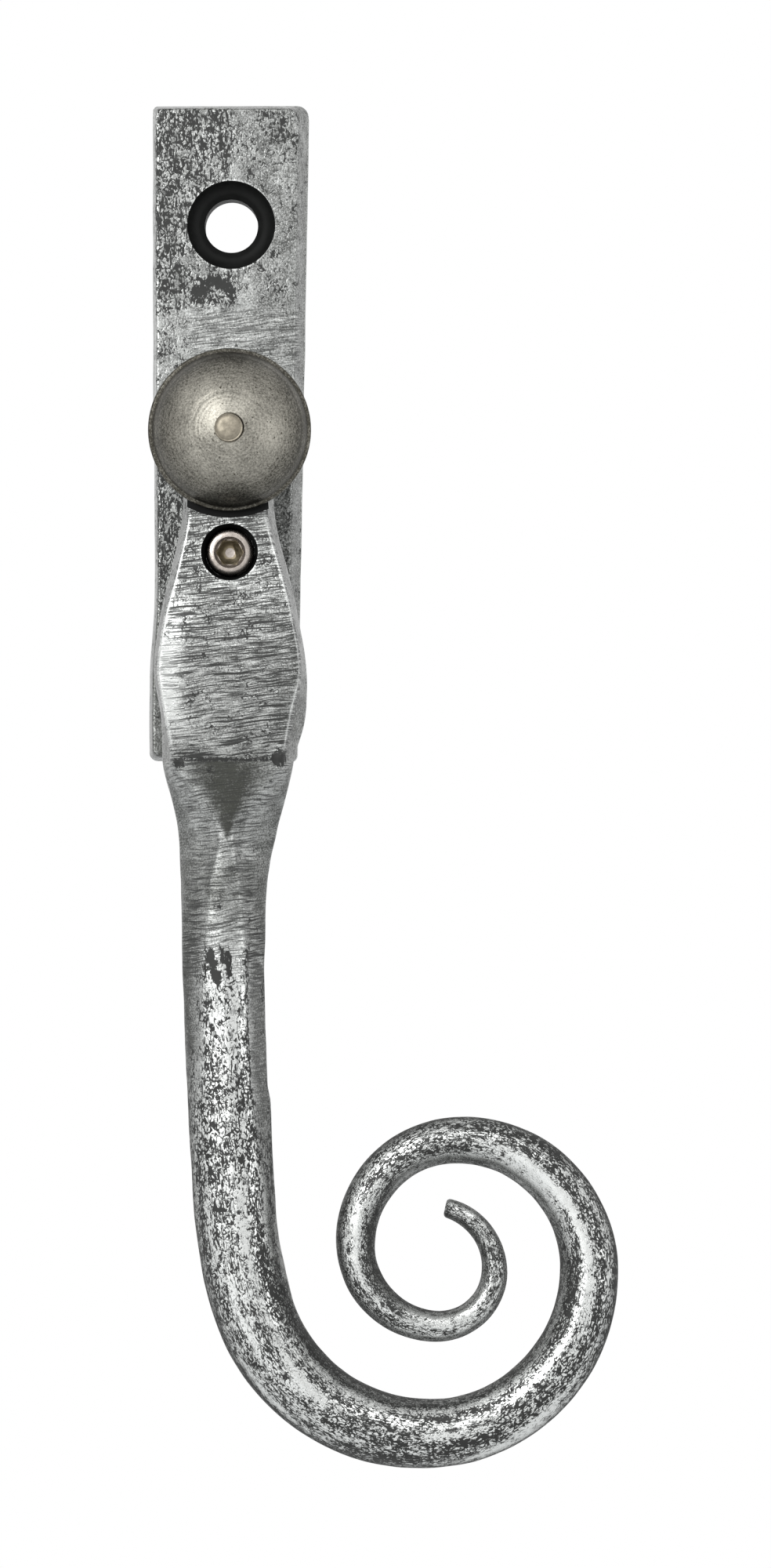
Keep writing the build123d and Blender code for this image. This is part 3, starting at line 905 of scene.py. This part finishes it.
def leaf_finish(across, height, drop):
    """How the leaf is pitted, filed, bright and dull at a spot."""
    corners, _ = bar_corners(drop)
    (left, front), (right, _), (_, side) = corners[:3]
    # the front face ahead, a bright rim along its arrises, and a painted highlight in a strip
    # inside the left one
    worn = front - crown(across, drop, -left)
    ahead = ramp(0.3, 0.15, (worn - height) / (front - side))
    arris = min(hypot(across - left, worn - height), hypot(across - right, front - height))
    rim = ramp(0.3, 0.08, arris) * ramp(8, 10, drop) * ramp(33, 31.5, drop)
    if height < 12 and drop < LEAF_START:
        return 0.2, 0.0, 0.15, 0.0
    painted_highlight_strip = ramp(0.55, 0.9, across / left) * ramp(17, 22, drop) * ramp(33, 29, drop)
    upper = ramp(20, 14, drop)
    pitted = ahead * (0.4 + 0.15 * upper - 0.2 * painted_highlight_strip) + (1 - ahead) * 0.22
    # painted shade: the right side of the leaf's front is painted darker
    shaded_right_side = ramp(2.5, 6.5, across) * ramp(14, 20, drop)
    bright = ahead * (0.42 + 0.78 * painted_highlight_strip - 0.15 * shaded_right_side) + (1 - ahead) * 0.14
    knee = ramp(31.5, 33.6, drop) * ramp(5.5, 3.5, abs(across)) * ahead
    crease = 33.8 + 0.1 * noise.noise(Vector((across, 0, 3)))
    pitted += 1.6 * ramp(0.4, 0.1, abs(drop - crease)) * knee + dent_pits(across, drop)
    filed = ahead * (1.0 - 0.3 * painted_highlight_strip) * (1 - 0.8 * rim)
    return pitted * (1 - rim), filed, bright + 0.5 * rim, 0.3 * knee


def knee_finish(across, height, drop, corners, angle):
    """How the knee is pitted, filed, bright and dull.

    The middle is the pointed flat below the leaf, with a filed cheek on each side of it. The
    middle is painted dull as painted shade for a flat that faces down, and the grip's top and
    its ridge are painted dull as painted shade that keeps their highlight down.
    """
    (left, front), (right, _), (_, side) = corners[:3]
    middle = ramp(1.1, 0.2, across / right if across > 0 else across / left)
    middle *= ramp(43.0, 40.5, drop)
    cheek = ramp(0.2, 0.5, (height - side) / (front - side)) * (1 - middle)
    outside = 1 - max(middle, cheek)
    ridge = ramp(0.4, 0.1, abs(angle + 0.25)) * ramp(42, 46, drop)
    # painted shade: the grip's top and its ridge are painted dull, and the pointed flat nearly all
    # dull
    dull = 0.12 + 0.12 * cheek + 0.28 * ramp(42, 46, drop) + 0.15 * ridge
    dull = 0.95 * middle + (1 - middle) * dull
    pitted = 0.1 + 0.3 * ramp(46, 51, drop) * (1 - outside) + dent_pits(across, drop)
    filed = 0.5 * middle + 0.8 * cheek + 0.15 * outside
    bright = 0.2 * outside + 0.5 * cheek
    return pitted, filed, bright, dull


# Turned pieces


def knob_turning(materials):
    """The knob: a dome on a thin rim, with turned grooves round its foot."""
    bore, rim, foot, dome_radius, rise = 1.46, 17.9, 18.1, 7.92, 6.0
    sphere = (dome_radius**2 + rise**2) / (2 * rise)
    centre = foot + rise - sphere
    profile = [(bore, 16.8), (4.5, 16.8), (4.5, 17.1), (8.0, 17.1), (8.25, 17.2), (8.34, 17.4)]
    profile += [(8.34, 17.72), (8.26, 17.86), (8.12, 17.93), (7.98, 18.0)]
    for i in range(49):
        turn = atan2(dome_radius, foot - centre) * (1 - i / 48)
        radius = sphere * sin(turn)
        if radius < bore:
            break
        cut = sum(0.035 * max(0, 1 - abs(radius - groove) / 0.13) for groove in KNOB_GROOVES)
        profile.append((radius, centre + (sphere - cut) * cos(turn)))
    profile.append((bore, profile[-1][1] - 0.06))
    profile.append((bore, 16.8))
    bm = turned(profile, 144)
    for vertex in bm.verts:
        spot = vertex.co
        reach = hypot(spot.x, spot.z)
        lean = ramp(8.2, 7.6, reach) * ramp(17.5, 18.0, -spot.y)
        dent = noise.noise(spot / 1.8) * 0.02 + noise.noise(spot / 5) * 0.04
        spot.x += 0.1 * lean
        spot.y -= (dent - 0.03) * ramp(rim - 0.4, rim + 0.3, -spot.y)
    return as_object(bm, "knob_turning", materials)


def rivet_end(materials):
    """The rivet that holds the knob, its end spread and ringed by the punch."""
    profile = [(0, 9.0), (1.45, 9.0), (1.45, 23.98), (1.36, 24.06), (1.28, 24.03), (1.18, 24.1)]
    profile += [(1.0, 24.17), (0.8, 24.2), (0.5, 24.22), (0, 24.22)]
    bm = turned(profile, 48)
    for vertex in bm.verts:
        if vertex.co.y < -23.9:
            vertex.co.y -= 0.05 * noise.noise(vertex.co * 1.7)
    return as_object(bm, "rivet_end", materials)


def washer_turning(materials):
    """The thrust washer, a hair thinner than its place so that it runs free of the disc spring."""
    back, front, inside, outside = 1.5, 2.29, 5.1, 6.5
    profile = [(inside, back), (outside - 0.1, back), (outside, back + 0.1)]
    profile += [(outside, front - 0.1), (outside - 0.1, front), (inside, front), (inside, back)]
    return as_object(turned(profile), "washer_turning", materials)


def screw_thread():
    """A raised thread, wound from its section."""
    bm = bmesh.new()
    thread = ((2.0, 11.0), (2.48, 11.35), (2.48, 11.45), (2.0, 11.8))
    chain = [bm.verts.new((radius, -height, -LOCK_DROP)) for radius, height in thread]
    edges = [bm.edges.new(pair) for pair in zip(chain, chain[1:] + chain[:1])]
    bmesh.ops.contextual_create(bm, geom=chain)
    pitch, turns, steps = 0.8, 5.2, 36
    bmesh.ops.spin(
        bm, geom=chain + edges, cent=(0, 0, -LOCK_DROP), axis=(0, 1, 0),
        dvec=(0, -pitch / steps, 0), angle=2 * pi * turns, steps=int(steps * turns),
        use_duplicate=False,
    )
    bmesh.ops.holes_fill(bm, edges=bm.edges)
    bmesh.ops.recalc_face_normals(bm, faces=bm.faces)
    return bm


def socket_screw(materials):
    """The lock screw: headless M5 with a hexagon socket and a dog point."""
    profile = [(0, 8.6), (1.5, 8.6), (1.75, 8.85), (1.75, 11.1), (2.1, 11.3), (2.1, 15.6)]
    profile += [(2.32, 15.8), (2.32, 16.35), (2.26, 16.5), (2.1, 16.6), (0, 16.6)]
    screw = as_object(turned(profile, 72, LOCK_DROP), "socket_screw", materials)
    joined(screw, screw_thread(), "UNION")
    mouth = [(0, 18), (1.62, 18), (1.62, 16.6), (1.3, 16.3), (0, 16.3)]
    joined(screw, turned(mouth, 48, LOCK_DROP), "DIFFERENCE")
    bm = bmesh.new()
    middle = Matrix.Translation((0, -16.2, -LOCK_DROP))
    facing = Matrix.Rotation(radians(90), 4, "X") @ Matrix.Rotation(radians(30), 4, "Z")
    corner = HEXAGON_FLATS / sqrt(3)
    bmesh.ops.create_cone(
        bm, cap_ends=True, segments=6, radius1=corner, radius2=corner, depth=4.0,
        matrix=middle @ facing,
    )
    joined(screw, bm, "DIFFERENCE", 1)
    cone = [(0, 15), (1.15, 15), (1.15, 14.2), (0.55, 13.9), (0, 13.9)]
    joined(screw, turned(cone, 32, LOCK_DROP), "DIFFERENCE", 1)
    pilot = [(0, 15), (0.52, 15), (0.5, 13.75), (0, 13.72)]
    joined(screw, turned(pilot, 32, LOCK_DROP), "DIFFERENCE")
    return screw


steel = forged_steel()
oxide = black_oxide()
# Stainless steel, machined: warm silver, bright where the tool left a chamfer
stainless = plain_metal("machined stainless steel", "8f8882", "cfc6be", 0.26, 0.35, 3.0)
# The socket's walls: the same steel as the broach left it, brownish, painted lighter as painted
# light so that the inside of the socket shows lit
broached = plain_metal("broached stainless steel, waxed", "8a7f68", "b3a78e", 0.5, 0.3, 1.0, 0.5)
# Rivet steel, dressed with a punch: warm grey, duller than the knob's crown
punched = plain_metal("rivet steel, dressed with a punch", "625d52", "9b9486", 0.45, 0.25)
# Zinc plate: a pale bluish silver, evenly bright, with the bar's drawn lines under it
zinc = plain_metal("zinc plated drawn steel", "9a9ea2", "c3c6c8", 0.28, 0.3, 30.0)
# Spring steel, phosphated and oiled: nearly black and even
phosphate = plain_metal("phosphated spring steel", "161617", "262627", 0.5, 0.2, 1.0, 0.4)
# Acetal, moulded: black plastic with a waxy sheen
acetal = plain_metal("moulded black acetal", "101010", "1a1a1a", 0.45, 0.5, 1.0, 0.0)

finish_piece(plate_forging([steel, oxide]), "plate", ["backplate"])
finish_piece(handle_forging([steel, oxide]), "lever", ["handle"])
finish_piece(knob_turning([turned_steel()]), "lever", ["knob"])
finish_piece(rivet_end([punched]), "lever", ["knob_rivet"])
finish_piece(socket_screw([stainless, broached]), "lock", ["lock_screw"])
finish_piece(washer_turning([zinc]), "lever", ["thrust_washer"])
for name, material in (
    ("spindle", zinc),
    ("retaining_ring", phosphate),
    ("disc_spring", phosphate),
    ("pivot_bush", acetal),
):
    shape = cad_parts[name].data
    shape.materials.clear()
    shape.materials.append(material)


# Studio: a pale floor well below the handle, white all round, soft boxes in front


def studio():
    """Floor, world and lamps."""
    material, tree = new_material("pale floor paper")
    paper = node(tree, "BsdfDiffuse", {"Color": colour("e6e6e6")})
    glow = node(tree, "Emission", {"Color": colour("ffffff"), "Strength": 0.2})
    sheet = node(tree, "AddShader", {0: paper, 1: glow})
    where = node(tree, "TexCoord", (), "Object")
    reach = node(tree, "VectorMath", {0: where}, "Value", operation="LENGTH")
    fade = node(
        tree,
        "MapRange",
        {"Value": reach, "From Min": 0.35, "From Max": 1.0},
        interpolation_type="SMOOTHSTEP",
    )
    clear = node(tree, "BsdfTransparent")
    below = node(tree, "NewGeometry", (), "Backfacing")
    hidden = node(tree, "Math", {0: fade, 1: below}, operation="MAXIMUM")
    mixed = node(tree, "MixShader", {0: hidden, 1: sheet, 2: clear})
    node(tree, "OutputMaterial", {"Surface": mixed})
    bm = bmesh.new()
    bmesh.ops.create_circle(bm, cap_ends=True, segments=64, radius=1.1)
    floor = as_object(bm, "floor", [material])
    floor.location = (0.016, 0, -0.2)

    world = bpy.data.worlds.new("white studio")
    bpy.context.scene.world = world
    world.use_nodes = True
    tree = world.node_tree
    tree.nodes.clear()
    seen = 0.0
    for kind in ("Is Camera Ray", "Is Glossy Ray", "Is Transmission Ray"):
        ray = node(tree, "LightPath", (), kind)
        seen = node(tree, "Math", {0: seen, 1: ray}, operation="MAXIMUM")
    ambient = node(tree, "Background", {"Color": colour("f4f6f8"), "Strength": 0.7})
    white = node(tree, "Background", {"Color": colour("ffffff"), "Strength": 1.0})
    mixed = node(tree, "MixShader", {0: seen, 1: ambient, 2: white})
    node(tree, "OutputWorld", {"Surface": mixed})

    centre = Vector((0.016, -0.012, -0.036))
    distance = 0.9
    for name, aim, size, watts in (
        ("soft box left", (-0.43, -0.862, 0.26), (0.36, 0.36), 3.6),
        ("small soft box above left", (-0.38, -0.7, 0.6), (0.15, 0.15), 1.6),
        ("soft box above", (0.25, -0.78, 0.57), (0.35, 0.25), 0.9),
        ("soft box right", (0.837, -0.546, -0.035), (0.4, 0.5), 0.9),
    ):
        lamp = bpy.data.lights.new(name, "AREA")
        lamp.shape = "RECTANGLE"
        lamp.size, lamp.size_y = size
        lamp.energy = watts
        made = in_scene(name, lamp)
        made.location = centre + Vector(aim).normalized() * distance
        made.rotation_euler = Vector(aim).to_track_quat("Z", "Y").to_euler()
        made.visible_camera = False


def camera():
    """A long lens a metre in front, level with the knee and a little to the right."""
    lens = bpy.data.cameras.new("camera")
    lens.sensor_width = 36
    # 12261 pixels of focal length on a picture 2000 pixels high
    lens.lens = 12261 / 2000 * lens.sensor_width
    lens.clip_start = 0.01
    lens.clip_end = 50
    made = in_scene("camera", lens)
    made.location = (0.01595, -1.0, -0.0362)
    made.rotation_euler = (radians(90), 0, 0)
    bpy.context.scene.camera = made


studio()
camera()
bpy.context.scene.view_settings.view_transform = "Standard"
